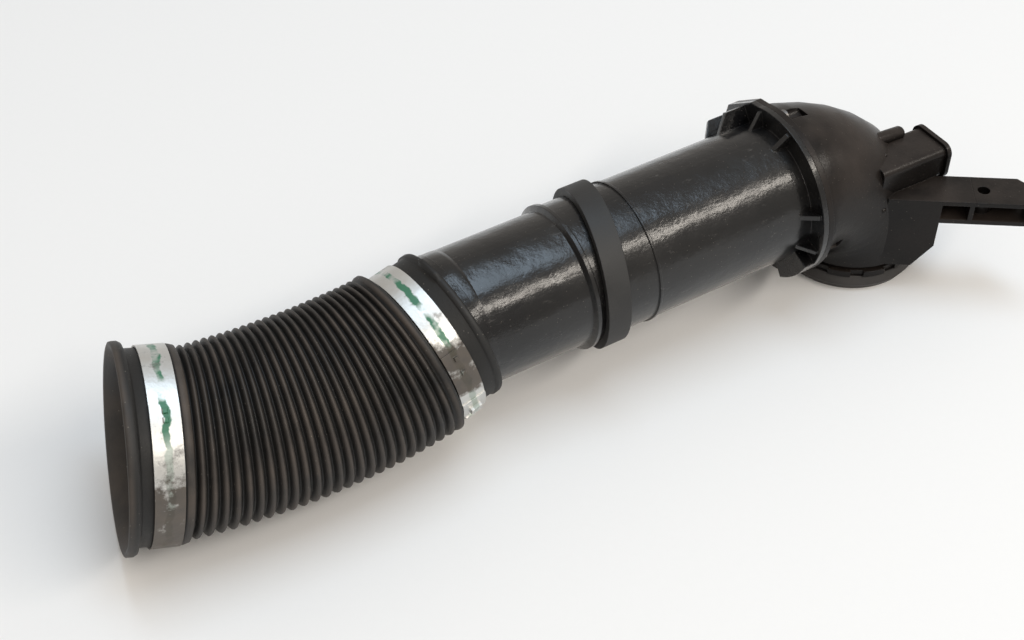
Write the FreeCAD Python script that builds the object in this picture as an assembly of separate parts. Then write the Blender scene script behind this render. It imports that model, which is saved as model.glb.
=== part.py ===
"""Air intake duct: bellows hose, intake tube, support band and elbow with outlet, chamber and bracket arm.

Row frame in millimetres: origin on the floor under the outlet's centre, +X along the tube in plan, from the hose
towards the elbow, +Z up. The duct lies on its outlet seal and on the belly of its hose, so the tube is inclined.
"""
import FreeCAD, Part
import math
import os

from FreeCAD import Vector

# Lie of the duct
TUBE_INCLINE = 2.0
TUBE_SIDE_OFFSET = 5.0
SEAM_X = -53.5
SEAM_Z = 58.0

# Intake tube, measured along its axis back from the joint seam
TUBE_LENGTH = 190.0
TUBE_RADIUS_HOSE_END = 35.2
TUBE_RADIUS_FLANGE_END = 36.6
TUBE_WALL = 2.5
BEAD_FROM_SEAM = 130.0
BEAD_HEIGHT = 2.8
BEAD_WIDTH = 6.0
BEAD_CROWN = 2.0
RIDGE_FROM_SEAM = 95.0
RIDGE_WIDTH = 1.4
RIDGE_HEIGHT = 0.8

# Spigot that carries the hose; it leads off at an angle to the tube
SPIGOT_RADIUS = 35.6
SPIGOT_LENGTH = 24.0
SPIGOT_SHOULDER = 4.0
SPIGOT_TURN = 6.0
SPIGOT_INCLINE = 13.0

# Joint flange, the same outline on tube and elbow
FLANGE_RADIUS = 46.5
TUBE_FLANGE_THICKNESS = 3.0
ELBOW_FLANGE_THICKNESS = 3.4
EAR_CORNER_SIDE = 20.0
EAR_CORNER_HEIGHT = 43.5
EAR_CHAMFER_SIDE = 38.0
EAR_CHAMFER_HEIGHT = 31.0
GUSSET_THICKNESS = 2.4
GUSSET_LENGTH = 9.0
GUSSET_TIP_RADIUS = 44.5
GUSSET_ANGLES = (15.0, 75.0, 105.0, 165.0, 195.0, 345.0)
EAR_RIB_LENGTH = 20.0
EAR_RIB_TIP_LENGTH = 12.0
EAR_RIB_ANGLES = (32.0, 56.0)
EAR_RIB_TIP_RADIUS = 46.0
FOOT_PAD_LENGTH = 6.0
FOOT_PAD_START = 205.0
FOOT_PAD_SPAN = 34.0

# Screws and seal of the joint
SCREW_PITCH_RADIUS = 42.2
SCREW_ANGLES = (86.0, 206.0, 326.0)
SCREW_RADIUS = 2.0
SCREW_HEAD_RADIUS = 3.4
SCREW_HEAD_HEIGHT = 2.6
SCREW_LENGTH = 5.0
SCREW_POCKET_RADIUS = 4.4
SCREW_POCKET_DEPTH = 14.0
SEAL_RADIUS = 36.6
SEAL_SECTION = 1.2

# Support band round the tube
BAND_FROM_SEAM = 112.0
BAND_WIDTH = 12.5
BAND_THICKNESS = 4.0
BAND_SLANT = 11.6

# Bellows hose
LIP_CENTRE = Vector(-412.0, 7.6, 51.0)
LIP_TURN = -13.0
LIP_INCLINE = -10.0
LIP_RADIUS = 48.0
LIP_WIDTH = 5.0
HOSE_WALL = 4.0
FRONT_CUFF_RADIUS = 44.4
FRONT_CUFF_LENGTH = 19.5
REAR_CUFF_WALL = 3.0
REAR_CUFF_RADIUS = SPIGOT_RADIUS + REAR_CUFF_WALL
REAR_CUFF_LENGTH = 25.0
REAR_RIM_HEIGHT = 1.0
REAR_RIM_RADIUS = REAR_CUFF_RADIUS + REAR_RIM_HEIGHT
REAR_RIM_WIDTH = 4.4
RIB_COUNT = 24
RIBS_PER_GROUP = 2
END_RIB_WIDTH = 3.4
END_RIB_FLANK = 1.4
EDGE_CHAMFER = 0.7
HOSE_BORE_STEP = 0.4
HOSE_BORE_RADIUS = SPIGOT_RADIUS + HOSE_BORE_STEP
RIB_ROOT_WALL = 5.0
RIB_ROOT_RADIUS = HOSE_BORE_RADIUS + RIB_ROOT_WALL
RIB_HEIGHT = 2.8
RIB_RADIUS = RIB_ROOT_RADIUS + RIB_HEIGHT
HOSE_LEAD_IN = 3.0
HOSE_SAG = Vector(0.0, -4.5, -0.6)
TAB_WIDTH = 15.0
TAB_LENGTH = 4.6
TAB_HEIGHT = 3.0

# Band clamps
CLAMP_WIDTH = 13.0
CLAMP_THICKNESS = 0.9
CLAMP_CLEARANCE = 0.2
FRONT_CLAMP_FROM_LIP = 11.0
REAR_CLAMP_FROM_RIM = 11.2
CLAMP_TAIL_SPAN = 75.0
CLAMP_HOOK_LENGTH = 5.0
CLAMP_HOOK_WIDTH = 6.0
CLAMP_HOOK_HEIGHT = 1.8
CLAMP_HOOK_ANGLES = (12.0, 40.0, 62.0)
FRONT_CLAMP_TURN = 250.0
REAR_CLAMP_TURN = 190.0

# Elbow, whose bend ends in a vertical outlet over the origin
ELBOW_RADIUS_FLANGE_END = 42.5
ELBOW_RADIUS_OUTLET_END = 36.5
ELBOW_BORE_OUTLET_END = 33.5
ELBOW_BEND_RADIUS = 43.0
ELBOW_BANDS = 9
ELBOW_BORE_BANDS = 4
ELBOW_TAPER_POWER = 3
NECK_RADIUS = 33.0
NECK_BORE_RADIUS = 30.0
NECK_FOOT_Z = 4.0
UNDERCUT_TOP_Z = 13.0
COLLAR_RADIUS = 37.0
COLLAR_LOW_Z = 8.5
COLLAR_HIGH_Z = 12.0
COLLAR_SLOTS = 12
COLLAR_SLOT_WIDTH = 7.0
COLLAR_SLOT_DEPTH = 2.0
OUTLET_SEAL_RADIUS = 38.5
OUTLET_SEAL_LIP_RADIUS = 36.0
OUTLET_SEAL_HEIGHT = 8.5

# Chamber on the elbow's end and its cover
CHAMBER_LOW = Vector(-12.0, -32.0, 57.6)
CHAMBER_SIZE = Vector(40.9, 24.6, 17.9)
CHAMBER_WALL = 2.5
CHAMBER_DEPTH = 15.0
CHAMBER_EDGE_RADIUS = 4.0
COVER_THICKNESS = 2.6
COVER_RIM = 1.6

# Bracket arm, a channel that leaves the elbow sideways
ARM_TURN = -34.0
ARM_START = 12.0
ARM_END = 88.0
ARM_NEAR_SIDE = -33.6
ARM_WIDTH = 22.0
ARM_TOP_Z = 59.5
ARM_HEIGHT = 14.0
ARM_PLATE = 2.5
ARM_WEB_PLACE = 54.0
ARM_HOLE_PLACE = 62.0
ARM_HOLE_RADIUS = 3.25
ARM_BOSS_RADIUS = 5.2
ARM_END_CHAMFER = 7.0
ARM_FOOT_END = 40.0
ARM_FOOT_TOE = 30.0
ARM_FOOT_SIDE_Z = 30.0
ARM_FOOT_LOW_Z = 16.0

X_AXIS = Vector(1, 0, 0)
Y_AXIS = Vector(0, 1, 0)
Z_AXIS = Vector(0, 0, 1)
ORIGIN = Vector(0, 0, 0)
FULL_TURN = 360.0
RIGHT_ANGLE = 90.0
OVERCUT = 1.0


def direction(turn, incline):
    """Unit vector turned in plan from +X and then inclined upwards, both in degrees."""
    flat = math.cos(math.radians(incline))
    return Vector(
        flat * math.cos(math.radians(turn)),
        flat * math.sin(math.radians(turn)),
        math.sin(math.radians(incline)),
    )


TUBE_AXIS = direction(0.0, TUBE_INCLINE)
SPIGOT_AXIS = direction(SPIGOT_TURN, SPIGOT_INCLINE)
LIP_AXIS = direction(LIP_TURN, LIP_INCLINE)
SEAM = Vector(SEAM_X, TUBE_SIDE_OFFSET, SEAM_Z)
TUBE_END = SEAM - TUBE_AXIS * TUBE_LENGTH


def tube_radius(from_seam):
    """Outer radius of the tube at a distance from the seam; it steps down under the bead."""
    return TUBE_RADIUS_FLANGE_END if from_seam < BEAD_FROM_SEAM else TUBE_RADIUS_HOSE_END


def on_tube(shape):
    """Move a shape from the tube's axes (seam at 0, +X to the elbow) to the row frame."""
    move = FreeCAD.Placement(SEAM, FreeCAD.Rotation(Y_AXIS, -TUBE_INCLINE))
    shape.Placement = move.multiply(shape.Placement)
    return shape


def along(shape, centre, axis):
    """Move a shape built round +X at the origin onto an axis through a centre."""
    move = FreeCAD.Placement(centre, FreeCAD.Rotation(X_AXIS, axis))
    shape.Placement = move.multiply(shape.Placement)
    return shape


def ring(low_x, high_x, outer, inner):
    """Plain ring round +X."""
    solid = Part.makeCylinder(outer, high_x - low_x, Vector(low_x, 0, 0), X_AXIS)
    return solid.cut(Part.makeCylinder(inner, high_x - low_x, Vector(low_x, 0, 0), X_AXIS))


def turned(points):
    """Solid of revolution round +X from (x, radius) points, closed along the axis."""
    vertices = [Vector(x, 0, radius) for x, radius in points]
    vertices = [Vector(points[0][0], 0, 0)] + vertices + [Vector(points[-1][0], 0, 0)]
    face = Part.Face(Part.makePolygon(vertices + vertices[:1]))
    return face.revolve(ORIGIN, X_AXIS, FULL_TURN)


def circle(centre, axis, radius):
    """Closed section whose seam lies on the far side, so that neighbouring sections match."""
    edge = Part.makeCircle(radius)
    edge.Placement = FreeCAD.Placement(centre, FreeCAD.Rotation(Y_AXIS, Z_AXIS, axis, "ZXY"))
    return Part.Wire(edge)


def polar(radius, degrees):
    """Point at an angle round +X, measured from +Y (the far side) towards +Z."""
    return Vector(0, radius * math.cos(math.radians(degrees)), radius * math.sin(math.radians(degrees)))


def flange_plate(low_x, thickness):
    """Round joint plate with a chamfered corner ear on the far side, top and bottom."""
    plate = Part.makeCylinder(FLANGE_RADIUS, thickness, Vector(low_x, 0, 0), X_AXIS)
    for side in (1, -1):
        outline = [
            Vector(low_x, 0, 0),
            Vector(low_x, 0, side * FLANGE_RADIUS),
            Vector(low_x, EAR_CORNER_SIDE, side * EAR_CORNER_HEIGHT),
            Vector(low_x, EAR_CHAMFER_SIDE, side * EAR_CHAMFER_HEIGHT),
            Vector(low_x, FLANGE_RADIUS, 0),
        ]
        ear = Part.Face(Part.makePolygon(outline + outline[:1]))
        plate = plate.fuse(ear.extrude(Vector(thickness, 0, 0)))
    return plate.removeSplitter()


def gusset(degrees, length, tip_length, tip_radius):
    """Sloping rib between the tube's wall and the back of its flange."""
    back = -TUBE_FLANGE_THICKNESS
    root = tube_radius(length) - TUBE_WALL / 2
    outline = [
        Vector(back, 0, root),
        Vector(back, 0, tip_radius),
        Vector(back - tip_length, 0, tip_radius),
        Vector(back - length, 0, root),
    ]
    rib = Part.Face(Part.makePolygon(outline + outline[:1])).extrude(Vector(0, GUSSET_THICKNESS, 0))
    rib.translate(Vector(0, -GUSSET_THICKNESS / 2, 0))
    rib.rotate(ORIGIN, X_AXIS, degrees - RIGHT_ANGLE)
    return rib


def stepped_core(inset, overrun):
    """Two-step round core of the tube, inset from its outer wall and overrunning both ends."""
    return turned([
        (-TUBE_LENGTH - overrun, TUBE_RADIUS_HOSE_END - inset),
        (-BEAD_FROM_SEAM, TUBE_RADIUS_HOSE_END - inset),
        (-BEAD_FROM_SEAM, TUBE_RADIUS_FLANGE_END - inset),
        (overrun, TUBE_RADIUS_FLANGE_END - inset),
    ])


def foot_pad():
    """Solid block behind the flange on the lower near side."""
    low = -TUBE_FLANGE_THICKNESS - FOOT_PAD_LENGTH
    pad = Part.makeCylinder(FLANGE_RADIUS, FOOT_PAD_LENGTH, ORIGIN, Z_AXIS, FOOT_PAD_SPAN)
    pad.Placement = FreeCAD.Placement(Vector(low, 0, 0), FreeCAD.Rotation(Y_AXIS, Z_AXIS, X_AXIS, "ZXY"))
    pad.rotate(ORIGIN, X_AXIS, FOOT_PAD_START)
    return pad


def intake_tube():
    """Stepped tube with bead, ridge, ribbed flange and the angled spigot."""
    body = stepped_core(0.0, 0.0)
    bead_foot = TUBE_RADIUS_HOSE_END - TUBE_WALL / 2
    bead_top = TUBE_RADIUS_HOSE_END + BEAD_HEIGHT
    bead = turned([
        (-BEAD_FROM_SEAM - BEAD_WIDTH / 2, bead_foot),
        (-BEAD_FROM_SEAM - BEAD_CROWN / 2, bead_top),
        (-BEAD_FROM_SEAM + BEAD_CROWN / 2, bead_top),
        (-BEAD_FROM_SEAM + BEAD_WIDTH / 2, bead_foot),
    ])
    ridge_radius = tube_radius(RIDGE_FROM_SEAM) + RIDGE_HEIGHT
    ridge = Part.makeCylinder(ridge_radius, RIDGE_WIDTH, Vector(-RIDGE_FROM_SEAM, 0, 0), X_AXIS)
    pieces = [bead, ridge, flange_plate(-TUBE_FLANGE_THICKNESS, TUBE_FLANGE_THICKNESS), foot_pad()]
    for degrees in GUSSET_ANGLES:
        pieces.append(gusset(degrees, GUSSET_LENGTH, OVERCUT, GUSSET_TIP_RADIUS))
    for degrees in EAR_RIB_ANGLES:
        for mirrored in (degrees, -degrees):
            pieces.append(gusset(mirrored, EAR_RIB_LENGTH, EAR_RIB_TIP_LENGTH, EAR_RIB_TIP_RADIUS))
    bore = stepped_core(TUBE_WALL, OVERCUT)
    groove = ring(-SEAL_SECTION, OVERCUT, SEAL_RADIUS + SEAL_SECTION, SEAL_RADIUS)
    spigot = along(
        Part.makeCylinder(SPIGOT_RADIUS, SPIGOT_LENGTH + SPIGOT_SHOULDER, Vector(-SPIGOT_LENGTH, 0, 0), X_AXIS),
        TUBE_END, SPIGOT_AXIS,
    )
    spigot_bore = along(
        Part.makeCylinder(SPIGOT_RADIUS - TUBE_WALL, SPIGOT_LENGTH + 2 * OVERCUT,
                          Vector(-SPIGOT_LENGTH - OVERCUT, 0, 0), X_AXIS),
        TUBE_END, SPIGOT_AXIS,
    )
    solid = on_tube(body.multiFuse(pieces)).fuse(spigot)
    solid = solid.cut(on_tube(bore)).cut(spigot_bore).cut(on_tube(groove))
    for screw in flange_screw_solids():
        solid = solid.cut(screw)
    return solid.removeSplitter()


def flange_screw_solids():
    """One screw per place, entered from the elbow's side of the joint."""
    screws = []
    for degrees in SCREW_ANGLES:
        foot = polar(SCREW_PITCH_RADIUS, degrees)
        shank_start = ELBOW_FLANGE_THICKNESS - SCREW_LENGTH
        shank = Part.makeCylinder(SCREW_RADIUS, SCREW_LENGTH, foot + Vector(shank_start, 0, 0), X_AXIS)
        head_start = foot + Vector(ELBOW_FLANGE_THICKNESS, 0, 0)
        head = Part.makeCylinder(SCREW_HEAD_RADIUS, SCREW_HEAD_HEIGHT, head_start, X_AXIS)
        screws.append(on_tube(shank.fuse(head)))
    return screws


def joint_seal():
    """Rubber ring in the groove of the tube's flange."""
    return on_tube(ring(-SEAL_SECTION, 0.0, SEAL_RADIUS + SEAL_SECTION, SEAL_RADIUS))


def support_band():
    """Rubber band on the tube, cut by two slanted planes."""
    reach = FLANGE_RADIUS
    low = -BAND_FROM_SEAM - reach
    high = -BAND_FROM_SEAM + reach
    sleeve = ring(low, high, TUBE_RADIUS_FLANGE_END + BAND_THICKNESS, TUBE_RADIUS_FLANGE_END)
    slab = Part.makeBox(BAND_WIDTH, 2 * reach, 2 * reach, Vector(-BAND_WIDTH / 2, -reach, -reach))
    slab.rotate(ORIGIN, Z_AXIS, -BAND_SLANT)
    slab.translate(Vector(-BAND_FROM_SEAM, 0, 0))
    return on_tube(sleeve.common(slab))


def hose_stations():
    """Outer sections of the hose, rear rim to lip: (centre, axis, radius)."""
    stations = []

    def rear(from_rim, radius):
        stations.append((TUBE_END - SPIGOT_AXIS * from_rim, SPIGOT_AXIS, radius))

    def front(from_lip, radius):
        stations.append((LIP_CENTRE + LIP_AXIS * from_lip, LIP_AXIS, radius))

    rear(0.0, REAR_RIM_RADIUS - EDGE_CHAMFER)
    rear(EDGE_CHAMFER, REAR_RIM_RADIUS)
    rear(REAR_RIM_WIDTH - EDGE_CHAMFER, REAR_RIM_RADIUS)
    rear(REAR_RIM_WIDTH, REAR_CUFF_RADIUS)
    rear(REAR_CUFF_LENGTH, REAR_CUFF_RADIUS)
    rear(REAR_CUFF_LENGTH + EDGE_CHAMFER, RIB_RADIUS)
    rear(REAR_CUFF_LENGTH + END_RIB_WIDTH, RIB_RADIUS)
    rear(REAR_CUFF_LENGTH + END_RIB_WIDTH + END_RIB_FLANK, RIB_ROOT_RADIUS)
    for centre, axis, half_step in rib_sections():
        stations.append((centre, axis, RIB_RADIUS if half_step % 2 else RIB_ROOT_RADIUS))
    front(FRONT_CUFF_LENGTH + LIP_WIDTH + END_RIB_WIDTH + END_RIB_FLANK, RIB_ROOT_RADIUS)
    front(FRONT_CUFF_LENGTH + LIP_WIDTH + END_RIB_WIDTH, RIB_RADIUS + EDGE_CHAMFER)
    front(FRONT_CUFF_LENGTH + LIP_WIDTH + EDGE_CHAMFER, RIB_RADIUS + 2 * EDGE_CHAMFER)
    front(FRONT_CUFF_LENGTH + LIP_WIDTH, FRONT_CUFF_RADIUS)
    front(LIP_WIDTH + EDGE_CHAMFER, FRONT_CUFF_RADIUS)
    front(LIP_WIDTH - EDGE_CHAMFER, LIP_RADIUS)
    front(EDGE_CHAMFER, LIP_RADIUS)
    front(0.0, LIP_RADIUS - EDGE_CHAMFER)
    return stations


def rib_zone_ends():
    rear_end = TUBE_END - SPIGOT_AXIS * (REAR_CUFF_LENGTH + END_RIB_WIDTH + END_RIB_FLANK)
    front_end = LIP_CENTRE + LIP_AXIS * (FRONT_CUFF_LENGTH + LIP_WIDTH + END_RIB_WIDTH + END_RIB_FLANK)
    return rear_end, front_end


def hose_section(share):
    """Centre and axis of the bent hose at a share of the way from its rear to its front rib."""
    rear_end, front_end = rib_zone_ends()
    bulge = share * (1.0 - share)
    centre = rear_end * (1.0 - share) + front_end * share + HOSE_SAG * (4.0 * bulge)
    turn = SPIGOT_TURN + share * (LIP_TURN - SPIGOT_TURN)
    incline = SPIGOT_INCLINE + share * (LIP_INCLINE - SPIGOT_INCLINE)
    return centre, direction(turn, incline)


def rib_sections():
    """Crest and root sections between the two end ribs, counted in half ribs; a group of ribs shares its axis."""
    half_steps = 2 * RIB_COUNT
    group_steps = 2 * RIBS_PER_GROUP
    rear_end, front_end = rib_zone_ends()
    half_pitch = (front_end - rear_end).Length / half_steps
    for half_step in range(1, half_steps):
        group = half_step // group_steps
        middle_step = (group + 0.5) * group_steps - 0.5
        centre, axis = hose_section(middle_step / half_steps)
        yield centre - axis * ((half_step - middle_step) * half_pitch), axis, half_step


def loft(stations):
    return Part.makeLoft([circle(centre, axis, radius) for centre, axis, radius in stations], True, True)


def bellows_hose():
    """Rubber hose with a plain bore, ribs outside, cuffs and lip."""
    rear_step = TUBE_END - SPIGOT_AXIS * SPIGOT_LENGTH
    front_step = LIP_CENTRE + LIP_AXIS * (FRONT_CUFF_LENGTH + LIP_WIDTH)
    bore = [
        (TUBE_END + SPIGOT_AXIS * OVERCUT, SPIGOT_AXIS, SPIGOT_RADIUS + OVERCUT),
        (TUBE_END - SPIGOT_AXIS * HOSE_LEAD_IN, SPIGOT_AXIS, SPIGOT_RADIUS),
        (rear_step, SPIGOT_AXIS, SPIGOT_RADIUS),
        (rear_step - SPIGOT_AXIS * OVERCUT, SPIGOT_AXIS, HOSE_BORE_RADIUS),
    ]
    for share in (0.25, 0.5, 0.75):
        bore.append(hose_section(share) + (HOSE_BORE_RADIUS,))
    bore += [
        (front_step + LIP_AXIS * OVERCUT, LIP_AXIS, HOSE_BORE_RADIUS),
        (front_step, LIP_AXIS, FRONT_CUFF_RADIUS - HOSE_WALL),
        (LIP_CENTRE - LIP_AXIS * OVERCUT, LIP_AXIS, FRONT_CUFF_RADIUS - HOSE_WALL),
    ]
    tab = Part.makeBox(TAB_LENGTH, TAB_WIDTH, REAR_RIM_RADIUS + TAB_HEIGHT - SPIGOT_RADIUS - OVERCUT)
    tab.translate(Vector(-REAR_RIM_WIDTH, -TAB_WIDTH / 2, SPIGOT_RADIUS + OVERCUT))
    return loft(hose_stations()).fuse(along(tab, TUBE_END, SPIGOT_AXIS)).cut(loft(bore)).removeSplitter()


def band_clamp(seat_radius, turn):
    """Steel strip with an overlapping tail and stamped hooks, round +X."""
    half = CLAMP_WIDTH / 2
    inner = seat_radius + CLAMP_CLEARANCE
    outer = inner + CLAMP_THICKNESS
    strip = ring(-half, half, outer, inner)
    tail = Part.makeCylinder(outer + CLAMP_THICKNESS, CLAMP_WIDTH, ORIGIN, Z_AXIS, CLAMP_TAIL_SPAN)
    tail = tail.cut(Part.makeCylinder(outer - CLAMP_THICKNESS / 2, CLAMP_WIDTH, ORIGIN, Z_AXIS))
    tail.Placement = FreeCAD.Placement(Vector(-half, 0, 0), FreeCAD.Rotation(Y_AXIS, Z_AXIS, X_AXIS, "ZXY"))
    clamp = strip.fuse(tail)
    for degrees in CLAMP_HOOK_ANGLES:
        low = Vector(-CLAMP_HOOK_WIDTH / 2, -CLAMP_HOOK_LENGTH / 2, outer)
        hook = Part.makeBox(CLAMP_HOOK_WIDTH, CLAMP_HOOK_LENGTH, CLAMP_THICKNESS + CLAMP_HOOK_HEIGHT, low)
        hook.rotate(ORIGIN, X_AXIS, degrees - RIGHT_ANGLE)
        clamp = clamp.fuse(hook)
    clamp.rotate(ORIGIN, X_AXIS, turn)
    return clamp.removeSplitter()


def elbow_section(share):
    """Centre and axis of the bend, from the end of the straight lead (0) to the vertical outlet (1)."""
    plan = Vector(-SEAM.x, -SEAM.y, 0).normalize()
    centre_of_bend = Vector(0, 0, SEAM.z - ELBOW_BEND_RADIUS) - plan * ELBOW_BEND_RADIUS
    angle = RIGHT_ANGLE * (1.0 - share)
    rise = math.sin(math.radians(angle))
    reach = math.cos(math.radians(angle))
    centre = centre_of_bend + plan * (ELBOW_BEND_RADIUS * reach) + Z_AXIS * (ELBOW_BEND_RADIUS * rise)
    heading = math.degrees(math.atan2(plan.y, plan.x))
    return centre, direction(heading, -RIGHT_ANGLE * share)


def elbow_loft(bands, flange_radius, outlet_radius, overrun):
    """Tapered bend that starts square to the tube, at the seam or a little before it."""
    stations = [(SEAM - TUBE_AXIS * overrun, TUBE_AXIS, flange_radius)]
    for band in range(bands + 1):
        share = band / bands
        centre, axis = elbow_section(share)
        taper = (1.0 - share) ** ELBOW_TAPER_POWER
        stations.append((centre, axis, outlet_radius + taper * (flange_radius - outlet_radius)))
    return loft(stations)


def outlet_neck():
    """Undercut, neck and castellated collar below the bend, round +Z."""
    profile = [
        (NECK_FOOT_Z, NECK_RADIUS),
        (UNDERCUT_TOP_Z, NECK_RADIUS),
        (SEAM_Z - ELBOW_BEND_RADIUS, ELBOW_RADIUS_OUTLET_END),
    ]
    collar = ring(COLLAR_LOW_Z, COLLAR_HIGH_Z, COLLAR_RADIUS, NECK_RADIUS - OVERCUT)
    for slot in range(COLLAR_SLOTS):
        low = Vector(COLLAR_LOW_Z, -COLLAR_SLOT_WIDTH / 2, COLLAR_RADIUS - COLLAR_SLOT_DEPTH)
        cutter = Part.makeBox(COLLAR_HIGH_Z - COLLAR_LOW_Z, COLLAR_SLOT_WIDTH, 2 * COLLAR_SLOT_DEPTH, low)
        cutter.rotate(ORIGIN, X_AXIS, slot * FULL_TURN / COLLAR_SLOTS)
        collar = collar.cut(cutter)
    return along(turned(profile).fuse(collar), ORIGIN, Z_AXIS)


def arm_joint():
    """Place along the arm, at the outer face of its web, where the end piece begins."""
    return ARM_WEB_PLACE + ARM_PLATE


def arm_bay(start, end):
    """Hollow between the arm's plates, open to the near side."""
    low = Vector(start, ARM_NEAR_SIDE - OVERCUT, ARM_TOP_Z - ARM_HEIGHT + ARM_PLATE)
    return Part.makeBox(end - start, ARM_WIDTH - ARM_PLATE, ARM_HEIGHT - 2 * ARM_PLATE, low)


def arm_root():
    """Channel that leaves the elbow, closed by a web, with a foot on the elbow's side."""
    low_z = ARM_TOP_Z - ARM_HEIGHT
    low = Vector(ARM_START, ARM_NEAR_SIDE, low_z)
    arm = Part.makeBox(arm_joint() - ARM_START, ARM_WIDTH, ARM_HEIGHT, low)
    arm = arm.cut(arm_bay(ARM_FOOT_END, ARM_WEB_PLACE))
    foot_outline = [
        Vector(ARM_START, ARM_NEAR_SIDE, low_z),
        Vector(ARM_FOOT_END, ARM_NEAR_SIDE, low_z),
        Vector(ARM_FOOT_END, ARM_NEAR_SIDE, ARM_FOOT_SIDE_Z),
        Vector(ARM_FOOT_TOE, ARM_NEAR_SIDE, ARM_FOOT_LOW_Z),
        Vector(ARM_START, ARM_NEAR_SIDE, ARM_FOOT_LOW_Z),
    ]
    foot = Part.Face(Part.makePolygon(foot_outline + foot_outline[:1])).extrude(Y_AXIS * ARM_WIDTH)
    arm = arm.fuse(foot)
    arm.rotate(ORIGIN, Z_AXIS, ARM_TURN)
    return arm


def bracket_end():
    """End of the channel with its chamfered corner and a bossed through hole."""
    low_z = ARM_TOP_Z - ARM_HEIGHT
    far_side = ARM_NEAR_SIDE + ARM_WIDTH
    outline = [
        Vector(arm_joint(), ARM_NEAR_SIDE, low_z),
        Vector(ARM_END, ARM_NEAR_SIDE, low_z),
        Vector(ARM_END, far_side - ARM_END_CHAMFER, low_z),
        Vector(ARM_END - ARM_END_CHAMFER, far_side, low_z),
        Vector(arm_joint(), far_side, low_z),
    ]
    end = Part.Face(Part.makePolygon(outline + outline[:1])).extrude(Z_AXIS * ARM_HEIGHT)
    end = end.cut(arm_bay(arm_joint() - OVERCUT, ARM_END - ARM_PLATE))
    foot = Vector(ARM_HOLE_PLACE, (ARM_NEAR_SIDE + far_side) / 2, low_z)
    end = end.fuse(Part.makeCylinder(ARM_BOSS_RADIUS, ARM_HEIGHT, foot))
    end = end.cut(Part.makeCylinder(ARM_HOLE_RADIUS, ARM_HEIGHT, foot))
    end.rotate(ORIGIN, Z_AXIS, ARM_TURN)
    return end.removeSplitter()


def chamber_block():
    """Rounded box on the elbow's end."""
    block = Part.makeBox(CHAMBER_SIZE.x, CHAMBER_SIZE.y, CHAMBER_SIZE.z, CHAMBER_LOW)
    lengthwise = [edge for edge in block.Edges if abs(edge.tangentAt(edge.FirstParameter).x) > OVERCUT / 2]
    return block.makeFillet(CHAMBER_EDGE_RADIUS, lengthwise)


def chamber_room():
    """Hollow of the chamber, open at the cover."""
    low = CHAMBER_LOW + Vector(CHAMBER_SIZE.x - CHAMBER_DEPTH, CHAMBER_WALL, CHAMBER_WALL)
    return Part.makeBox(CHAMBER_DEPTH, CHAMBER_SIZE.y - 2 * CHAMBER_WALL, CHAMBER_SIZE.z - 2 * CHAMBER_WALL, low)


def chamber_cover():
    """Plate over the chamber's open end, a little proud of it all round."""
    low = CHAMBER_LOW + Vector(CHAMBER_SIZE.x, -COVER_RIM, -COVER_RIM)
    size = CHAMBER_SIZE + Vector(0, 2 * COVER_RIM, 2 * COVER_RIM)
    plate = Part.makeBox(COVER_THICKNESS, size.y, size.z, low)
    lengthwise = [edge for edge in plate.Edges if abs(edge.tangentAt(edge.FirstParameter).x) > OVERCUT / 2]
    return plate.makeFillet(CHAMBER_EDGE_RADIUS + COVER_RIM, lengthwise)


def elbow():
    """Elbow with flange, outlet neck, chamber and arm root, hollow from flange to outlet."""
    solid = elbow_loft(ELBOW_BANDS, ELBOW_RADIUS_FLANGE_END, ELBOW_RADIUS_OUTLET_END, 0.0)
    plate = on_tube(flange_plate(0.0, ELBOW_FLANGE_THICKNESS))
    for piece in (plate, outlet_neck(), arm_root(), chamber_block()):
        solid = solid.fuse(piece)
    bore_radius = TUBE_RADIUS_FLANGE_END - TUBE_WALL
    bore = elbow_loft(ELBOW_BORE_BANDS, bore_radius, ELBOW_BORE_OUTLET_END, OVERCUT)
    outlet_bore = turned([
        (NECK_FOOT_Z - OVERCUT, NECK_BORE_RADIUS),
        (UNDERCUT_TOP_Z, NECK_BORE_RADIUS),
        (SEAM_Z - ELBOW_BEND_RADIUS + OVERCUT, ELBOW_BORE_OUTLET_END - OVERCUT),
    ])
    solid = solid.cut(bore).cut(along(outlet_bore, ORIGIN, Z_AXIS)).cut(chamber_room())
    for degrees in SCREW_ANGLES:
        start = polar(SCREW_PITCH_RADIUS, degrees) + Vector(ELBOW_FLANGE_THICKNESS, 0, 0)
        solid = solid.cut(on_tube(Part.makeCylinder(SCREW_POCKET_RADIUS, SCREW_POCKET_DEPTH, start, X_AXIS)))
    for screw in flange_screw_solids():
        solid = solid.cut(screw)
    return solid.removeSplitter()


def outlet_seal():
    """Rubber ring pushed onto the neck, with a lip under its foot."""
    seal = turned([
        (0.0, OUTLET_SEAL_LIP_RADIUS),
        (OUTLET_SEAL_HEIGHT / 2, OUTLET_SEAL_RADIUS),
        (OUTLET_SEAL_HEIGHT, OUTLET_SEAL_LIP_RADIUS),
    ])
    seal = seal.cut(Part.makeCylinder(NECK_BORE_RADIUS, OUTLET_SEAL_HEIGHT, ORIGIN, X_AXIS))
    neck_height = OUTLET_SEAL_HEIGHT - NECK_FOOT_Z
    seal = seal.cut(Part.makeCylinder(NECK_RADIUS, neck_height, Vector(NECK_FOOT_Z, 0, 0), X_AXIS))
    return along(seal, ORIGIN, Z_AXIS)


def front_clamp_centre():
    return LIP_CENTRE + LIP_AXIS * (FRONT_CLAMP_FROM_LIP + CLAMP_WIDTH / 2)


def rear_clamp_centre():
    return TUBE_END - SPIGOT_AXIS * (REAR_CLAMP_FROM_RIM + CLAMP_WIDTH / 2)


def save(name, shape):
    shape.exportStep("parts/" + name + ".step")


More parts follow.
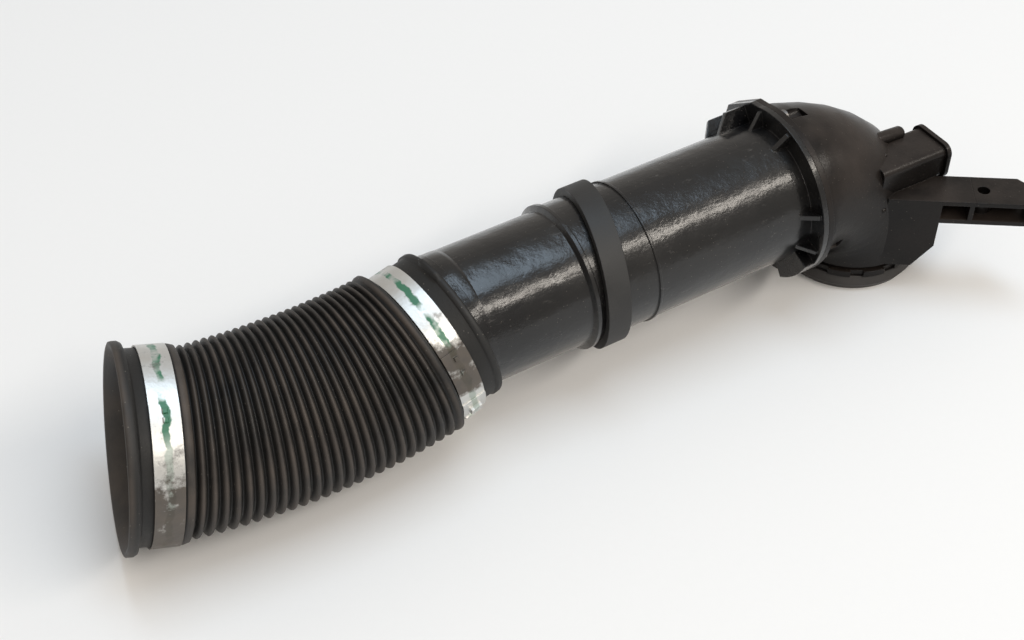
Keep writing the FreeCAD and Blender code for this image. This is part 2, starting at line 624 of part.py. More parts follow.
os.makedirs("parts", exist_ok=True)
save("bellows_hose", bellows_hose())
save("front_band_clamp", along(band_clamp(FRONT_CUFF_RADIUS, FRONT_CLAMP_TURN), front_clamp_centre(), LIP_AXIS))
save("rear_band_clamp", along(band_clamp(REAR_CUFF_RADIUS, REAR_CLAMP_TURN), rear_clamp_centre(), SPIGOT_AXIS))
save("intake_tube", intake_tube())
save("support_band", support_band())
save("joint_seal", joint_seal())
save("elbow", elbow())
save("bracket_end", bracket_end())
save("chamber_cover", chamber_cover())
save("outlet_seal", outlet_seal())
save("flange_screws", Part.makeCompound(flange_screw_solids()))
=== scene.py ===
"""Looks of the air intake duct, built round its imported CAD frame, in metres and in the row frame."""
import math

import bmesh
import bpy
from mathutils import Matrix, Vector

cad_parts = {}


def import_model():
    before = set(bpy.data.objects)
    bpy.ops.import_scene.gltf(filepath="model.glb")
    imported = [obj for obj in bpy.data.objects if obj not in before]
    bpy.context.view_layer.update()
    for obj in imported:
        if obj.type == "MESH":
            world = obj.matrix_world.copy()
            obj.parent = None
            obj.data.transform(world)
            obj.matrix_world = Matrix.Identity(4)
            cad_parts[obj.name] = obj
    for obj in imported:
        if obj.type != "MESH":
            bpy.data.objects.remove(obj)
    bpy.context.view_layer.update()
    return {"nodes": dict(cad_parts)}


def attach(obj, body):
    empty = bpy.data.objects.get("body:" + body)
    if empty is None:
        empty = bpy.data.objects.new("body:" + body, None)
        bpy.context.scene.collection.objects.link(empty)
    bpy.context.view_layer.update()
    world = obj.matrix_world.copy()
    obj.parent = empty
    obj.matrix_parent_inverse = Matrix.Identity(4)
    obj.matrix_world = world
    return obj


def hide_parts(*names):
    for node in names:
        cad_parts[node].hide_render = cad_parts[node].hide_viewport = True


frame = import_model()

MM = 0.001

# Hose path, as in the part's source, apart from the ribs' root, which lies deeper here
TUBE_INCLINE = 2.0
TUBE_LENGTH = 190.0 * MM
SEAM = Vector((-53.5, 5.0, 58.0)) * MM
SPIGOT_TURN = 6.0
SPIGOT_INCLINE = 13.0
SPIGOT_RADIUS = 35.6 * MM
SPIGOT_LENGTH = 24.0 * MM
LIP_CENTRE = Vector((-412.0, 7.6, 51.0)) * MM
LIP_TURN = -13.0
LIP_INCLINE = -10.0
LIP_RADIUS = 48.0 * MM
LIP_WIDTH = 5.0 * MM
HOSE_WALL = 4.0 * MM
FRONT_CUFF_RADIUS = 44.4 * MM
FRONT_CUFF_LENGTH = 19.5 * MM
REAR_CUFF_RADIUS = 38.6 * MM
REAR_CUFF_LENGTH = 25.0 * MM
REAR_RIM_RADIUS = 39.6 * MM
REAR_RIM_WIDTH = 4.4 * MM
RIB_RADIUS = 43.8 * MM
RIB_ROOT_RADIUS = 39.9 * MM
RIB_COUNT = 24
END_RIB = 4.8 * MM
HOSE_BORE_RADIUS = 36.0 * MM
HOSE_LEAD_IN = 3.0 * MM
HOSE_LEAD_RISE = 0.8 * MM
TAB_HEIGHT = 2.8 * MM
TAB_HALF_ANGLE = 10.5
HOSE_SAG = Vector((0.0, -4.5, -0.6)) * MM
EDGE = 0.7 * MM
RIB_ROUNDNESS = 0.6
INNER_RIB_SHARE = 0.6

# Clamps, from the lip and the rim to the strips' middles, and the strips' outer ends
FRONT_CLAMP_FROM_LIP = 17.5 * MM
REAR_CLAMP_FROM_RIM = 17.7 * MM
FRONT_STRIP_RADIUS = 45.5 * MM
REAR_STRIP_RADIUS = 39.7 * MM
STRIP_WIDTH = 13.0 * MM
STRIP_LAYER = 0.6 * MM
STRIP_STEPS = 24
STRIP_TAPER = 0.8
FRONT_STRIP_START = 115.0
FRONT_STRIP_SPAN = 60.0
FRONT_HOOKS = (119.0, 124.0)
REAR_STRIP_START = 146.0
REAR_STRIP_SPAN = 55.0
REAR_HOOKS = (152.0, 163.0)
HOOK_SIZE = 3.2 * MM
HOOK_HEIGHT = 1.5 * MM
HOOK_TAPER = 0.6

# Heights between which a clamp grows darker, heights below which it grows lighter again, and above which its
# marker line is strong
FRONT_DARK_BAND = (84.0 * MM, 55.0 * MM)
FRONT_LIGHTER_BELOW = (-20.0 * MM, -10.0 * MM)
FRONT_MARK_ABOVE = 84.0 * MM
REAR_DARK_BAND = (80.0 * MM, 68.0 * MM)
REAR_LIGHTER_BELOW = (42.0 * MM, 52.0 * MM)
REAR_MARK_ABOVE = 72.0 * MM
MARK_FADE = 6.0 * MM
MARK_RAGGEDNESS = 1.1 * MM
MARK_EDGE = (1.9 * MM, 1.3 * MM)

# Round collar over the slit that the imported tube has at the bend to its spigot
COLLAR_RADIUS = 35.5 * MM
COLLAR_WALL = 1.6 * MM
COLLAR_HALF_ANGLE = 13
COLLAR_STEPS = 8

# Fineness of the hose's mesh
RING_POINTS = 168
RIB_STEPS = 10
RIB_UNEVENNESS = 0.12 * MM
RIB_PHASE_STEP = 12.9898
RIB_PHASE_START = 4.1

# How much crest colour (dust with a painted highlight) the hose gets on its plain parts and inside, from 0
# in a groove to 1 on a crest
PLAIN_CREST = 0.4
INNER_CREST = 0.65

# Small moulded details of the elbow
NUB_START = Vector((-4.0, -8.8, 77.6)) * MM
NUB_END = Vector((15.0, -8.8, 76.6)) * MM
NUB_RADIUS = 3.8 * MM
PIPS = (
    (Vector((-2.1, -20.2, 76.2)) * MM, Vector((0.481, -0.578, 0.659)), 1.3 * MM),
    (Vector((-11.5, -35.4, 53.6)) * MM, Vector((0.119, -0.985, 0.127)), 2.0 * MM),
)
PIP_SINK = 0.55  # of a pip's radius
BAR_SEGMENTS = 24

# Shading of the moulded elbow
WELD_DISTANCE = 0.01 * MM
CORNER_ANGLE = 24.0

# Photograph's camera
CAMERA_PLACE = Vector((-0.502, -0.496, 0.574))
CAMERA_TURN = 30.2
CAMERA_PITCH = 42.8
CAMERA_LENS = 56.25
CAMERA_SENSOR = 36.0

# Floor and light
FLOOR_SIZE = 12.0
FLOOR_COLOUR = (0.83, 0.83, 0.83, 1.0)
BACKDROP_COLOUR = (1.0, 0.94, 0.87, 1.0)
WORLD_STRENGTH = 0.56

# Lamps: name, place, width, height, watts and colour
LAMP_TARGET = (-0.2, 0.0, 0.05)
LAMPS = (
    ("ceiling", (0.35, 0.15, 3.0), 2.4, 1.0, 36.0, (0.66, 0.83, 1.0)),
    ("strip", (0.6, -1.55, 1.75), 2.4, 0.22, 31.0, (1.0, 0.93, 0.84)),
    ("fill", (-2.0, -1.8, 2.2), 1.6, 1.2, 6.0, (1.0, 0.96, 0.9)),
)

# Colours of the surfaces
TUBE_BLACK = (0.003, 0.003, 0.0035)
TUBE_HAZE = (0.01, 0.009, 0.008)
TUBE_SCUFF = (0.05, 0.046, 0.042)
TUBE_DIRT = (0.16, 0.14, 0.12)
ELBOW_BLACK = (0.003, 0.0025, 0.0025)
ELBOW_DUST_AND_TOP_SHEEN = (0.042, 0.033, 0.028)
ELBOW_SPECK = (0.2, 0.18, 0.15)
HOSE_GROOVE = (0.006, 0.0055, 0.005)
HOSE_CREST = (0.07, 0.055, 0.044)
HOSE_SPECK = (0.3, 0.27, 0.23)
BAND_BLACK = (0.014, 0.0135, 0.013)
SEAL_BLACK = (0.018, 0.016, 0.015)
STEEL_BRIGHT = (0.78, 0.78, 0.76)
STEEL_DULL = (0.50, 0.50, 0.48)
MARK_GREEN = (0.006, 0.13, 0.06)
GRIME_AND_BAND_BROWN = (0.075, 0.05, 0.03)
GRIME_AND_BAND_DARK = (0.014, 0.011, 0.009)
SCREW_ZINC = (0.3, 0.3, 0.3)
SCREW_STAIN = (0.12, 0.1, 0.09)


def direction(turn, incline):
    """Unit vector turned in plan from +X and then inclined upwards, both in degrees."""
    flat = math.cos(math.radians(incline))
    return Vector((
        flat * math.cos(math.radians(turn)),
        flat * math.sin(math.radians(turn)),
        math.sin(math.radians(incline)),
    ))


TUBE_AXIS = direction(0.0, TUBE_INCLINE)
SPIGOT_AXIS = direction(SPIGOT_TURN, SPIGOT_INCLINE)
LIP_AXIS = direction(LIP_TURN, LIP_INCLINE)
TUBE_END = SEAM - TUBE_AXIS * TUBE_LENGTH


# Node helpers

class Shader:
    """A principled material and short ways to wire procedural nodes into it."""

    def __init__(self, name, colour, roughness, metallic=0.0):
        self.material = bpy.data.materials.new(name)
        self.material.use_nodes = True
        self.tree = self.material.node_tree
        self.shader = self.tree.nodes["Principled BSDF"]
        self.shader.inputs["Base Color"].default_value = (*colour, 1.0)
        self.shader.inputs["Roughness"].default_value = roughness
        self.shader.inputs["Metallic"].default_value = metallic
        self.place = self.node("ShaderNodeTexCoord").outputs["Object"]

    def node(self, kind, **settings):
        made = self.tree.nodes.new(kind)
        for key, value in settings.items():
            setattr(made, key, value)
        return made

    def link(self, source, target):
        self.tree.links.new(source, target)

    def feed(self, socket, value):
        """Link a socket or set a constant."""
        if isinstance(value, bpy.types.NodeSocket):
            self.link(value, socket)
        else:
            socket.default_value = value

    def stretched(self, scale):
        mapping = self.node("ShaderNodeMapping")
        self.link(self.place, mapping.inputs["Vector"])
        mapping.inputs["Scale"].default_value = scale
        return mapping.outputs["Vector"]

    def noise(self, scale, detail=4.0, roughness=0.55, place=None):
        made = self.node("ShaderNodeTexNoise")
        self.link(place or self.place, made.inputs["Vector"])
        made.inputs["Scale"].default_value = scale
        made.inputs["Detail"].default_value = detail
        made.inputs["Roughness"].default_value = roughness
        return made.outputs["Fac"]

    def specks(self, scale, size):
        """1 inside small scattered dots, 0 elsewhere."""
        made = self.node("ShaderNodeTexVoronoi")
        self.link(self.place, made.inputs["Vector"])
        made.inputs["Scale"].default_value = scale
        return self.remap(made.outputs["Distance"], size, size * 0.6, 0.0, 1.0)

    def remap(self, value, low, high, to_low=0.0, to_high=1.0):
        made = self.node("ShaderNodeMapRange")
        self.feed(made.inputs["Value"], value)
        made.inputs["From Min"].default_value = low
        made.inputs["From Max"].default_value = high
        made.inputs["To Min"].default_value = to_low
        made.inputs["To Max"].default_value = to_high
        return made.outputs["Result"]

    def maths(self, operation, first, second):
        made = self.node("ShaderNodeMath", operation=operation)
        self.feed(made.inputs[0], first)
        self.feed(made.inputs[1], second)
        return made.outputs[0]

    def mix(self, factor, first, second):
        made = self.node("ShaderNodeMix", data_type="RGBA")
        self.feed(made.inputs["Factor"], factor)
        for name, value in (("A", first), ("B", second)):
            socket = [s for s in made.inputs if s.name == name and s.type == "RGBA"][0]
            self.feed(socket, value if isinstance(value, bpy.types.NodeSocket) else (*value, 1.0))
        return [s for s in made.outputs if s.type == "RGBA"][0]

    def attribute(self, name):
        return self.node("ShaderNodeAttribute", attribute_name=name).outputs["Fac"]

    def facing_up(self):
        normal = self.node("ShaderNodeNewGeometry").outputs["Normal"]
        split = self.node("ShaderNodeSeparateXYZ")
        self.link(normal, split.inputs[0])
        return split.outputs["Z"]

    def height(self):
        split = self.node("ShaderNodeSeparateXYZ")
        self.link(self.place, split.inputs[0])
        return split.outputs["Z"]

    def along(self, centre, axis):
        """Distance of the shaded point along an axis, from a centre."""
        shifted = self.node("ShaderNodeVectorMath", operation="SUBTRACT")
        self.link(self.place, shifted.inputs[0])
        shifted.inputs[1].default_value = centre
        dotted = self.node("ShaderNodeVectorMath", operation="DOT_PRODUCT")
        self.link(shifted.outputs[0], dotted.inputs[0])
        dotted.inputs[1].default_value = axis
        return dotted.outputs["Value"]

    def colour(self, value):
        self.feed(self.shader.inputs["Base Color"], value)

    def roughness(self, value):
        self.feed(self.shader.inputs["Roughness"], value)

    def relief(self, height, distance, strength=1.0, edge=0.0):
        """Bump, over edges that read as slightly rounded."""
        bump = self.node("ShaderNodeBump")
        bump.inputs["Strength"].default_value = strength
        bump.inputs["Distance"].default_value = distance
        self.link(height, bump.inputs["Height"])
        if edge:
            rounded = self.node("ShaderNodeBevel", samples=6)
            rounded.inputs["Radius"].default_value = edge
            self.link(rounded.outputs["Normal"], bump.inputs["Normal"])
        self.link(bump.outputs["Normal"], self.shader.inputs["Normal"])
        self.link(bump.outputs["Normal"], self.shader.inputs["Coat Normal"])


# Materials

def tube_plastic():
    """Semi-gloss black plastic, rubbed along its length, with specks of dirt."""
    made = Shader("tube_plastic", (0.014, 0.014, 0.016), 0.3)
    streaks = made.noise(60.0, 5.0, 0.6, made.stretched((0.25, 3.0, 3.0)))
    patches = made.noise(14.0, 4.0)
    tinted = made.specks(420.0, 0.10)
    haze = made.remap(patches, 0.45, 0.75)
    base = made.mix(haze, TUBE_BLACK, TUBE_HAZE)
    scuffs = made.remap(made.noise(110.0, 8.0, 0.75, made.stretched((0.7, 1.6, 1.6))), 0.60, 0.70)
    base = made.mix(made.maths("MULTIPLY", scuffs, 0.7), base, TUBE_SCUFF)
    made.colour(made.mix(made.maths("MULTIPLY", tinted, 0.5), base, TUBE_DIRT))
    patchy = made.maths("ADD", made.maths("MULTIPLY", haze, 0.1), made.maths("MULTIPLY", scuffs, 0.16))
    made.roughness(made.maths("ADD", made.remap(streaks, 0.3, 0.7, 0.24, 0.36), patchy))
    fine = made.noise(900.0, 3.0)
    dents = made.noise(85.0, 3.0, 0.5)
    height = made.maths("ADD", made.maths("MULTIPLY", dents, 2.0), made.maths("MULTIPLY", fine, 0.3))
    made.relief(made.maths("ADD", height, made.maths("MULTIPLY", streaks, 0.4)), 0.35 * MM, 0.6, 0.6 * MM)
    made.shader.inputs["Specular IOR Level"].default_value = 0.1
    made.shader.inputs["Coat Weight"].default_value = 0.85
    blotches = made.remap(made.noise(48.0, 6.0, 0.65), 0.42, 0.66, 0.16, 0.26)
    hazy = made.maths("MULTIPLY", scuffs, 0.12)
    made.feed(made.shader.inputs["Coat Roughness"], made.maths("ADD", blotches, hazy))
    return made.material


def elbow_plastic():
    """Satin black plastic with a warm haze on what faces up, partly dust and partly painted top sheen."""
    made = Shader("elbow_plastic", (0.01, 0.009, 0.009), 0.34)
    patches = made.noise(24.0, 5.0)
    # painted top sheen: what faces up is lighter, partly dust and partly painted light from above
    dust_and_top_sheen = made.maths("MULTIPLY", made.remap(made.facing_up(), -0.2, 0.9), made.remap(patches, 0.3, 0.7))
    base = made.mix(dust_and_top_sheen, ELBOW_BLACK, ELBOW_DUST_AND_TOP_SHEEN)
    made.colour(made.mix(made.maths("MULTIPLY", made.specks(380.0, 0.09), 0.4), base, ELBOW_SPECK))
    made.roughness(made.remap(patches, 0.3, 0.7, 0.27, 0.4))
    made.shader.inputs["Specular IOR Level"].default_value = 0.2
    made.relief(made.noise(700.0, 4.0), 0.15 * MM, 0.5, 0.7 * MM)
    return made.material


def hose_rubber():
    """Matte rubber, brown dust and a painted highlight on the crests, black in the grooves."""
    made = Shader("hose_rubber", (0.02, 0.018, 0.016), 0.62)
    crest = made.remap(made.attribute("crest"), 0.45, 1.0)
    patches = made.noise(45.0, 5.0)
    # painted highlight: the crests get brown dust together with a painted highlight, and the grooves stay
    # black
    patchy = made.maths("MULTIPLY", crest, made.remap(patches, 0.3, 0.72))
    base = made.mix(patchy, HOSE_GROOVE, HOSE_CREST)
    made.colour(made.mix(made.maths("MULTIPLY", made.specks(300.0, 0.08), 0.5), base, HOSE_SPECK))
    made.roughness(made.remap(patches, 0.3, 0.7, 0.5, 0.68))
    made.relief(made.noise(650.0, 5.0, 0.65), 0.2 * MM, 0.6)
    return made.material


def plain_rubber(name, colour, roughness):
    """Matte black rubber with a fine grain."""
    made = Shader(name, colour, roughness)
    patches = made.noise(60.0, 5.0)
    lighter = tuple(2.0 * part for part in colour)
    made.colour(made.mix(made.remap(patches, 0.4, 0.75), colour, lighter))
    made.roughness(made.remap(patches, 0.3, 0.7, roughness - 0.08, roughness + 0.08))
    made.relief(made.noise(800.0, 4.0), 0.18 * MM, 0.5, 0.6 * MM)
    return made.material


def clamp_steel(name, centre, axis, tinted, lighter_below, mark_above):
    """Steel strip with a green marker line rubbed off in places, darker between two heights and lighter
    again lower down.
    """
    made = Shader(name, (0.66, 0.66, 0.64), 0.4, 1.0)
    height = made.height()
    grime = made.noise(95.0, 7.0, 0.7)
    # darker between two heights and lighter again lower down: this height band spreads the grime's brown and
    # dark colours further
    low = made.maths("MULTIPLY", made.remap(height, *tinted), made.remap(height, *lighter_below))
    grime_and_dark_band = made.remap(made.maths("ADD", grime, made.maths("MULTIPLY", low, 0.34)), 0.60, 0.76)
    steel = made.mix(made.noise(30.0, 5.0), STEEL_BRIGHT, STEEL_DULL)
    ragged = made.remap(made.noise(130.0, 4.0), 0.3, 0.7, -MARK_RAGGEDNESS, MARK_RAGGEDNESS)
    off_line = made.maths("ABSOLUTE", made.maths("ADD", made.along(centre, axis), ragged), 0.0)
    line = made.remap(off_line, *MARK_EDGE)
    patchy = made.remap(made.noise(55.0, 4.0), 0.36, 0.48)
    strength = made.remap(height, mark_above - MARK_FADE, mark_above, 0.35, 0.95)
    marked = made.maths("MULTIPLY", made.maths("MULTIPLY", line, patchy), strength)
    green = made.mix(marked, steel, MARK_GREEN)
    brown = made.mix(made.noise(160.0, 5.0), GRIME_AND_BAND_BROWN, GRIME_AND_BAND_DARK)
    made.colour(made.mix(made.maths("MULTIPLY", grime_and_dark_band, 0.92), green, brown))
    covered = made.maths("MAXIMUM", made.maths("MULTIPLY", grime_and_dark_band, 0.85), marked)
    made.feed(made.shader.inputs["Metallic"], made.maths("SUBTRACT", 1.0, covered))
    made.roughness(made.remap(grime, 0.3, 0.7, 0.34, 0.56))
    made.relief(made.noise(420.0, 5.0), 0.18 * MM, 0.6, 0.3 * MM)
    return made.material


def screw_steel():
    made = Shader("screw_steel", (0.25, 0.25, 0.25), 0.45, 1.0)
    patches = made.noise(300.0, 4.0)
    made.colour(made.mix(patches, SCREW_ZINC, SCREW_STAIN))
    made.relief(patches, 0.1 * MM, 0.4)
    return made.material


# Hose

def hose_section(share):
    """Centre and axis of the bent hose at a share of the way from its rear to its front rib."""
    rear_end = TUBE_END - SPIGOT_AXIS * (REAR_CUFF_LENGTH + END_RIB)
    front_end = LIP_CENTRE + LIP_AXIS * (FRONT_CUFF_LENGTH + LIP_WIDTH + END_RIB)
    centre = rear_end.lerp(front_end, share) + HOSE_SAG * (4.0 * share * (1.0 - share))
    turn = SPIGOT_TURN + share * (LIP_TURN - SPIGOT_TURN)
    incline = SPIGOT_INCLINE + share * (LIP_INCLINE - SPIGOT_INCLINE)
    return centre, direction(turn, incline)


def rib_height(phase):
    """Height of a rib over one pitch, 0 in the groove and 1 on its round crest."""
    return (0.5 - 0.5 * math.cos(2.0 * math.pi * phase)) ** RIB_ROUNDNESS


def rounded_step(add, start, end, low, high):
    """Quarter-round edge from one radius to another in three sections."""
    for turn in (0.0, 45.0, 90.0):
        share = math.sin(math.radians(turn))
        add(start + (end - start) * (1.0 - math.cos(math.radians(turn))), low + (high - low) * share)


def hose_sections():
    """Rings round the whole wall: outside from rear to front, then inside back again."""
    rings = []

    def rear(from_rim, radius, crest=PLAIN_CREST):
        rings.append((TUBE_END - SPIGOT_AXIS * from_rim, SPIGOT_AXIS, radius, crest))

    def front(from_lip, radius, crest=PLAIN_CREST):
        rings.append((LIP_CENTRE + LIP_AXIS * from_lip, LIP_AXIS, radius, crest))

    rear(HOSE_LEAD_IN, SPIGOT_RADIUS)
    rear(0.0, SPIGOT_RADIUS + HOSE_LEAD_RISE)
    rounded_step(rear, 0.0, 2 * EDGE, REAR_RIM_RADIUS - 2 * EDGE, REAR_RIM_RADIUS)
    rounded_step(rear, REAR_RIM_WIDTH - EDGE, REAR_RIM_WIDTH, REAR_RIM_RADIUS, REAR_CUFF_RADIUS)
    rear(REAR_CUFF_LENGTH - EDGE, REAR_CUFF_RADIUS, 0.1)
    rounded_step(rear, REAR_CUFF_LENGTH, REAR_CUFF_LENGTH + 2 * EDGE, REAR_CUFF_RADIUS, RIB_RADIUS)
    rear(REAR_CUFF_LENGTH + END_RIB - 3 * EDGE, RIB_RADIUS, 1.0)
    rear(REAR_CUFF_LENGTH + END_RIB - EDGE, RIB_RADIUS - EDGE, 0.8)
    steps = RIB_COUNT * RIB_STEPS
    for step in range(steps + 1):
        centre, axis = hose_section(step / steps)
        height = rib_height(step / RIB_STEPS)
        rib = step // RIB_STEPS
        swell = RIB_UNEVENNESS * math.sin(RIB_PHASE_STEP * rib + RIB_PHASE_START) * height
        radius = RIB_ROOT_RADIUS + (RIB_RADIUS - RIB_ROOT_RADIUS) * height - abs(swell)
        rings.append((centre, axis, radius, height))
    cuff = FRONT_CUFF_LENGTH + LIP_WIDTH
    front(cuff + END_RIB - EDGE, RIB_RADIUS - EDGE, 0.8)
    front(cuff + END_RIB - 2 * EDGE, RIB_RADIUS + EDGE, 1.0)
    front(cuff + EDGE, RIB_RADIUS + 2 * EDGE, 1.0)
    front(cuff, FRONT_CUFF_RADIUS, 0.2)
    front(LIP_WIDTH + 2 * EDGE, FRONT_CUFF_RADIUS, 0.3)
    rounded_step(front, LIP_WIDTH + EDGE, LIP_WIDTH - 2 * EDGE, FRONT_CUFF_RADIUS + EDGE, LIP_RADIUS)
    front(2 * EDGE, LIP_RADIUS, 0.9)
    front(0.5 * EDGE, LIP_RADIUS - 0.3 * EDGE, 0.9)
    front(0.0, LIP_RADIUS - 1.5 * EDGE, 0.9)
    bore = FRONT_CUFF_RADIUS - HOSE_WALL
    front(0.5 * EDGE, LIP_RADIUS - 3.5 * EDGE, 0.9)
    front(LIP_WIDTH, bore + 2 * EDGE, 0.9)
    front(2 * LIP_WIDTH, bore, 0.9)
    front(cuff, bore, 0.8)
    front(cuff + EDGE, HOSE_BORE_RADIUS, 0.7)
    for step in range(steps, -1, -2):
        centre, axis = hose_section(step / steps)
        height = rib_height(step / RIB_STEPS)
        radius = HOSE_BORE_RADIUS + (RIB_RADIUS - RIB_ROOT_RADIUS) * height * INNER_RIB_SHARE
        rings.append((centre, axis, radius, INNER_CREST))
    rear(SPIGOT_LENGTH + 2 * EDGE, HOSE_BORE_RADIUS, 0.0)
    rear(SPIGOT_LENGTH, SPIGOT_RADIUS, 0.0)
    return rings


def section_frame(axis):
    """Far-side and upward directions square to an axis, and the axis itself."""
    side = Vector((0.0, 1.0, 0.0))
    side = (side - axis * side.dot(axis)).normalized()
    return side, axis.cross(side), axis


def on_section(centre, frame_of, radius, degrees, offset):
    side, up, axis = frame_of
    angle = math.radians(degrees)
    return centre + side * (radius * math.cos(angle)) + up * (radius * math.sin(angle)) + axis * offset


def ring_points(centre, axis, radius):
    side, up, _ = section_frame(axis)
    on_rim = (TUBE_END - centre).length < REAR_RIM_WIDTH and radius > REAR_CUFF_RADIUS + EDGE
    for index in range(RING_POINTS):
        angle = 2.0 * math.pi * index / RING_POINTS
        reach = radius
        if on_rim and abs(angle - math.pi / 2) < math.radians(TAB_HALF_ANGLE):
            reach += TAB_HEIGHT
        yield centre + side * (reach * math.cos(angle)) + up * (reach * math.sin(angle))


def ring_mesh(name, rings):
    """Closed smooth mesh through rings of points, with the last ring joined to the first."""
    points = []
    for centre, axis, radius in rings:
        points.extend(ring_points(centre, axis, radius))
    faces = []
    count = len(rings)
    for row in range(count):
        here = row * RING_POINTS
        there = ((row + 1) % count) * RING_POINTS
        for index in range(RING_POINTS):
            after = (index + 1) % RING_POINTS
            faces.append((here + index, there + index, there + after, here + after))
    mesh = bpy.data.meshes.new(name)
    mesh.from_pydata(points, [], faces)
    mesh.polygons.foreach_set("use_smooth", [True] * len(faces))
    return mesh


def bellows_hose():
    sections = hose_sections()
    mesh = ring_mesh("hose", [section[:3] for section in sections])
    crests = [section[3] for section in sections for _ in range(RING_POINTS)]
    mesh.attributes.new("crest", "FLOAT", "POINT").data.foreach_set("value", crests)
    return add_piece("ribbed_hose", mesh, hose_rubber(), "hose_rubber", "bellows_hose")


def spigot_collar():
    """Belt of a ball that covers the slit at the bend, flush with the tube and the spigot."""
    axis = (SPIGOT_AXIS + TUBE_AXIS).normalized()
    outside = []
    for step in range(COLLAR_STEPS + 1):
        angle = math.radians(COLLAR_HALF_ANGLE * (1.0 - 2.0 * step / COLLAR_STEPS))
        centre = TUBE_END + axis * (COLLAR_RADIUS * math.sin(angle))
        outside.append((centre, axis, COLLAR_RADIUS * math.cos(angle)))
    inside = [(centre, axis, radius - COLLAR_WALL) for centre, axis, radius in reversed(outside)]
    return ring_mesh("spigot_collar", outside + inside)


def add_piece(name, mesh, material, slot, *replaced):
    piece = bpy.data.objects.new(name, mesh)
    bpy.context.scene.collection.objects.link(piece)
    mesh.materials.append(material)
    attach(piece, "root")
    if replaced:
        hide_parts(*replaced)
    return piece


# Outer end of a clamp's strip, with its stamped hooks

def strip_end(centre, axis, radius, start, span, hooks):
    """Thin curved layer over the strip, from a start angle on, with small knobs on it."""
    frame_of = section_frame(axis)
    corners = []
    faces = []
    for step in range(STRIP_STEPS + 1):
        angle = start + span * step / STRIP_STEPS
        lift = STRIP_LAYER * (1.0 - STRIP_TAPER * step / STRIP_STEPS)
        for across, height in ((-1, -STRIP_LAYER), (-1, lift), (1, lift), (1, -STRIP_LAYER)):
            corners.append(on_section(centre, frame_of, radius + height, angle, across * STRIP_WIDTH / 2))
    for step in range(STRIP_STEPS):
        for side in range(4):
            here = 4 * step + side
            after = 4 * step + (side + 1) % 4
            faces.append((here + 4, after + 4, after, here))
    faces.append((0, 1, 2, 3))
    last = 4 * STRIP_STEPS
    faces.append((last + 3, last + 2, last + 1, last))
    for hook in hooks:
        add_hook(corners, faces, centre, frame_of, radius, hook)
    mesh = bpy.data.meshes.new("strip_end")
    mesh.from_pydata(corners, [], faces)
    return mesh


def add_hook(corners, faces, centre, frame_of, radius, angle):
    """Small tapered knob that stands up from the strip."""
    first = len(corners)
    half_turn = math.degrees(HOOK_SIZE / 2 / radius)
    for height, share in ((-STRIP_LAYER, 1.0), (HOOK_HEIGHT, HOOK_TAPER)):
        for along, across in ((-1, -1), (1, -1), (1, 1), (-1, 1)):
            turned = angle + along * share * half_turn
            offset = across * share * HOOK_SIZE / 2
            corners.append(on_section(centre, frame_of, radius + height, turned, offset))
    quads = [(0, 3, 2, 1), (4, 5, 6, 7), (0, 1, 5, 4), (1, 2, 6, 5), (2, 3, 7, 6), (3, 0, 4, 7)]
    faces.extend(tuple(first + corner for corner in quad) for quad in quads)


# Small moulded details

def round_bar(name, start, end, radius):
    """Mesh of a bar with ball ends."""
    made = bmesh.new()
    bmesh.ops.create_uvsphere(made, u_segments=BAR_SEGMENTS, v_segments=BAR_SEGMENTS // 2, radius=radius)
    length = (end - start).length
    for vertex in made.verts:
        if vertex.co.z > 0.01 * radius:
            vertex.co.z += length
    turn = (end - start).to_track_quat("Z", "Y").to_matrix().to_4x4()
    made.transform(Matrix.Translation(start) @ turn)
    mesh = bpy.data.meshes.new(name)
    made.to_mesh(mesh)
    made.free()
    mesh.polygons.foreach_set("use_smooth", [True] * len(mesh.polygons))
    return mesh


def elbow_details(look):
    add_piece("chamber_nub", round_bar("chamber_nub", NUB_START, NUB_END, NUB_RADIUS), look, "elbow_plastic")
    for number, (place, outward, radius) in enumerate(PIPS, 1):
        centre = place - outward * (PIP_SINK * radius)
        name = f"elbow_pip_{number}"
        add_piece(name, round_bar(name, centre - outward * radius, centre, radius), look, "elbow_plastic")


# CAD pieces that are shown as they are

def dress(node, material):
    piece = frame["nodes"][node]
    piece.data.materials.clear()
    piece.data.materials.append(material)


def smooth_over_seams(node):
    """Shade across the joints of neighbouring faces, and keep true corners sharp."""
    piece = frame["nodes"][node]
    for name in ("custom_normal", "sharp_edge", "sharp_face"):
        piece.data.attributes.remove(piece.data.attributes[name])
    weld = piece.modifiers.new("join_seams", "WELD")
    weld.merge_threshold = WELD_DISTANCE
    corners = piece.modifiers.new("keep_corners", "EDGE_SPLIT")
    corners.split_angle = math.radians(CORNER_ANGLE)


